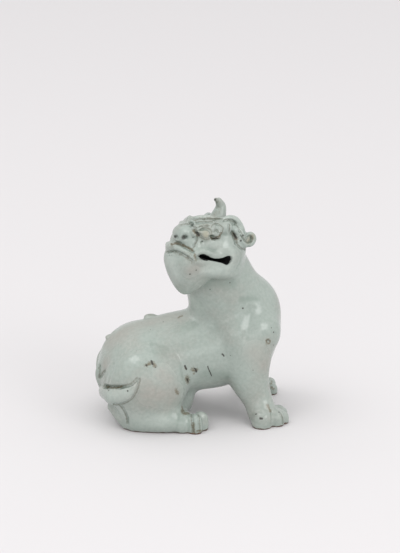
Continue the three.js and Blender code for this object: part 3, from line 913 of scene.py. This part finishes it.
class Shading:
    """A material, and the nodes that it is made of."""

    def __init__(self, name):
        self.material = bpy.data.materials.new(name)
        self.material.use_nodes = True
        self.tree = self.material.node_tree
        self.shader = self.tree.nodes["Principled BSDF"]

    def node(self, kind, settings, *inputs, **named):
        """One node: its type, its settings, then the values or links of its inputs, in order or by name."""
        node = self.tree.nodes.new(kind)
        for key, value in settings.items():
            setattr(node, key, value)
        for key, value in [*enumerate(inputs), *named.items()]:
            self.feed(node.inputs[key], value)
        return node

    def feed(self, socket, value):
        if isinstance(value, Number):
            self.tree.links.new(value.socket, socket)
        elif isinstance(value, bpy.types.NodeSocket):
            self.tree.links.new(value, socket)
        else:
            socket.default_value = value

    def set(self, **values):
        for key, value in values.items():
            self.feed(self.shader.inputs[key.replace("_", " ")], value)

    def place(self):
        return self.node("ShaderNodeTexCoord", {}).outputs["Object"]

    def attribute(self, name):
        return Number(self, self.node("ShaderNodeAttribute", {"attribute_name": name}).outputs["Fac"])

    def noise(self, where, size, detail=2.0):
        """Noise from 0 to 1, whose lumps are about size metres wide."""
        node = self.node("ShaderNodeTexNoise", {}, Vector=where, Scale=1 / size, Detail=detail)
        return Number(self, node.outputs["Fac"])

    def blend(self, low, high, share):
        """The colour low where share is 0 and high where it is 1."""
        node = self.node("ShaderNodeMix", {"data_type": "RGBA"}, share)
        a, b = [socket for socket in node.inputs if socket.type == "RGBA"]
        self.feed(a, low)
        self.feed(b, high)
        return next(socket for socket in node.outputs if socket.type == "RGBA")


def srgb(*values):
    """A colour from its red, green and blue on a screen, 0 to 255, by the screen's own curve: straight up to
    10, and a power of 2.4 above that."""
    return (*[v / 255 / 12.92 if v < 10 else ((v / 255 + 0.055) / 1.055) ** 2.4 for v in values], 1)


# The colours of the glaze, from the bulk of it to the painted shade in the mouth. Some stand in part for
# painted light and shade.
CELADON = srgb(149, 159, 152)
THIN = srgb(152, 149, 142)
# Whitish glaze, and the colour of painted highlights and painted bounce light.
MILKY_AND_PAINTED_LIGHT = srgb(184, 193, 186)
DARK_FRECKLE = srgb(122, 134, 126)
LIGHT_FRECKLE = srgb(180, 186, 178)
BEIGE = srgb(150, 146, 126)
SPECKLE = srgb(116, 116, 104)
# Glaze that pools in hollows, and the colour of painted shade.
POOL_AND_SHADE = srgb(112, 128, 118)
EDGE = srgb(188, 184, 174)
UMBER = srgb(80, 76, 62)
CREASE = srgb(84, 82, 68)
# Brown of the stains, and of painted shade in creases.
STAIN_AND_CREASE_SHADE = srgb(92, 80, 54)
# Dark brown of the glaze's pits, and of painted shade in holes and creases.
PIT_AND_HOLE_SHADE = srgb(44, 43, 38)
FOOT_RIM = srgb(84, 62, 48)
# Painted shade in the mouth, near black.
MOUTH_SHADE = srgb(6, 6, 6)

# Sizes of the glaze's patterns, in metres.
CLOUDS = 0.03
WAVES = 0.006
MOTTLES = 0.004
FRECKLES = 0.0022
GRAINS = 0.0012
RIM_HEIGHT = 0.0014
RIM_SOFTNESS = 0.0006
RIM_WAVER = 0.002
WAVE_HEIGHT = 0.0006


def glaze():
    """Glossy celadon: greener where it pools, thin and pinkish on edges and here and there, brown where
    pitted.
    Painted highlights and bounce light lie among the whitish marks; painted shade lies under the jaw and
    belly, round a hind foot, in holes and creases of the face, and in the mouth. Each layer is a colour, and
    how much of it lies over the layers below."""
    g = Shading("celadon_glaze")
    where = g.place()

    height = Number(g, g.node("ShaderNodeSeparateXYZ", {}, where).outputs["Z"])
    fine, broad = g.attribute("fine_hollow"), g.attribute("broad_hollow")
    cloud = g.noise(where, CLOUDS, detail=3.0)
    mottle = g.noise(where, MOTTLES)
    freckle = g.noise(where, FRECKLES, detail=4.0)
    grain = g.noise(where, GRAINS) - 0.5
    rosy, speckled, pits_and_hole_shade, painted_mouth_shade = [g.attribute(name) for name in ("rosy", "speckled", "pits_and_hole_shade", "painted_mouth_shade")]

    # A ramp says from where to where a layer sets in, and the factor after it is the most that it covers.
    layers = [
        (THIN, ((cloud + mottle * 0.25).ramp(0.58, 0.85) * 0.5 + rosy * 0.55).ramp(0, 1)),
        # Whitish glaze, and painted highlights and painted light.
        (MILKY_AND_PAINTED_LIGHT, g.attribute("milky_and_painted_light") * 0.42),
        (DARK_FRECKLE, (freckle + cloud * 0.4).ramp(0.66, 0.95) * 0.28),
        (LIGHT_FRECKLE, (1 - freckle - cloud * 0.2).ramp(0.42, 0.75) * 0.2),
        (BEIGE, g.attribute("beige") * 0.75),
        (SPECKLE, (speckled * (0.7 + grain * 4 + mottle)).ramp(0.6, 2.2) * 0.9),
        # Greener where the glaze pools in hollows, and painted shade where the shade marks lie.
        (POOL_AND_SHADE, (broad * 0.5 + fine * 1.5 + g.attribute("painted_shade") * 0.6).ramp(0.1, 1.4)),
        (EDGE, (0 - fine).ramp(0.14, 0.5) * 0.5),
        (UMBER, (fine + mottle * 0.3).ramp(0.28, 0.8) * 0.85),
        (CREASE, (g.attribute("creases") + grain).ramp(0.3, 1) * 0.6),
        # Stains, and painted shade in creases.
        (STAIN_AND_CREASE_SHADE, (g.attribute("stains_and_crease_shade") + grain * 1.4).ramp(0.25, 1) * 0.75),
        # Pits in the glaze, and painted shade in holes and creases.
        (PIT_AND_HOLE_SHADE, (pits_and_hole_shade + grain * 0.5).ramp(0.3, 0.8) * 0.92),
        (FOOT_RIM, (RIM_HEIGHT - height + (mottle - 0.5) * RIM_WAVER).ramp(0, RIM_SOFTNESS)),
        # Painted shade on the walls of the mouth.
        (MOUTH_SHADE, painted_mouth_shade),
    ]
    colour = CELADON
    for shade, share in layers:
        colour = g.blend(colour, shade, share)

    rough = 0.12 + mottle * 0.08 + speckled * 0.3 + rosy * 0.4 + pits_and_hole_shade * 0.5 + painted_mouth_shade * 0.8
    waves = g.node("ShaderNodeBump", {}, Strength=0.25, Distance=WAVE_HEIGHT, Height=g.noise(where, WAVES))
    g.set(Base_Color=colour, Roughness=rough, Normal=waves.outputs[0])
    return g.material


figure.data.materials.clear()
figure.data.materials.append(glaze())

# Camera

FRAME_WIDTH = 36  # of the camera's sensor, in millimetres, along the picture's longer side
CLIP_NEAR, CLIP_FAR = 0.05, 20  # metres
camera_data = bpy.data.cameras.new("camera")
camera_data.sensor_width = FRAME_WIDTH
camera_data.lens = DISTANCE / MM_PER_PIXEL * FRAME_WIDTH / PICTURE[1]
camera_data.clip_start, camera_data.clip_end = CLIP_NEAR, CLIP_FAR
camera = bpy.data.objects.new("camera", camera_data)
camera.location = (EYE + MIDDLE) * MM
camera.rotation_mode = "QUATERNION"
camera.rotation_quaternion = Vector(TOWARDS).to_track_quat("Z", "Y")
bpy.context.scene.collection.objects.link(camera)
bpy.context.scene.camera = camera

# Ground and light, in metres

FLOOR_REACH = 8
LIGHTS_AIM = Vector((0, 0, 0.08))
PAPER = (0.645, 0.632, 0.637, 1)
WORLD_COLOUR = (1, 0.99, 0.995, 1)
WORLD_STRENGTH = 0.94


def make_floor():
    """A wide sheet of pale paper."""
    mesh = bpy.data.meshes.new("floor")
    corners = [(x * FLOOR_REACH, y * FLOOR_REACH, 0) for x, y in ((-1, -1), (1, -1), (1, 1), (-1, 1))]
    mesh.from_pydata(corners, [], [(0, 1, 2, 3)])
    paper = Shading("paper")
    paper.set(Base_Color=PAPER, Roughness=0.9, Specular_IOR_Level=0.1)
    mesh.materials.append(paper.material)
    floor = bpy.data.objects.new("floor", mesh)
    bpy.context.scene.collection.objects.link(floor)
    return floor


def make_world():
    """A nearly white sky, as bright on all sides."""
    world = bpy.data.worlds.new("studio")
    world.use_nodes = True
    background = world.node_tree.nodes["Background"]
    background.inputs["Color"].default_value = WORLD_COLOUR
    background.inputs["Strength"].default_value = WORLD_STRENGTH
    return world


def add_light(name, data, towards):
    """A light whose back is turned in the direction towards."""
    lamp = bpy.data.objects.new(name, data)
    lamp.rotation_mode = "QUATERNION"
    lamp.rotation_quaternion = towards.to_track_quat("Z", "Y")
    bpy.context.scene.collection.objects.link(lamp)
    return lamp


def softbox(name, place, size, watts):
    """A rectangle of light that aims at the figure."""
    data = bpy.data.lights.new(name, "AREA")
    data.shape = "RECTANGLE"
    data.size, data.size_y = size
    data.energy = watts
    add_light(name, data, Vector(place) - LIGHTS_AIM).location = place


def skylight(name, direction, strength, spread):
    """A wide soft light from far off, as strong everywhere."""
    data = bpy.data.lights.new(name, "SUN")
    data.energy = strength
    data.angle = spread
    add_light(name, data, Vector(direction))


make_floor()
bpy.context.scene.world = make_world()
skylight("overhead", (-0.3, -0.1, 0.95), strength=0.6, spread=math.radians(80))
softbox("window", (1.35, -1.75, 1.1), size=(1.2, 1.0), watts=14)
softbox("top_window", (-1.1, -0.3, 2.15), size=(1.2, 0.8), watts=10)
softbox("front_fill", (-0.6, -4.4, 0.7), size=(4.8, 1.8), watts=29)
softbox("right_fill", (2.8, -0.6, 1.4), size=(2.4, 2.4), watts=4)
bpy.context.scene.view_settings.view_transform = "Standard"
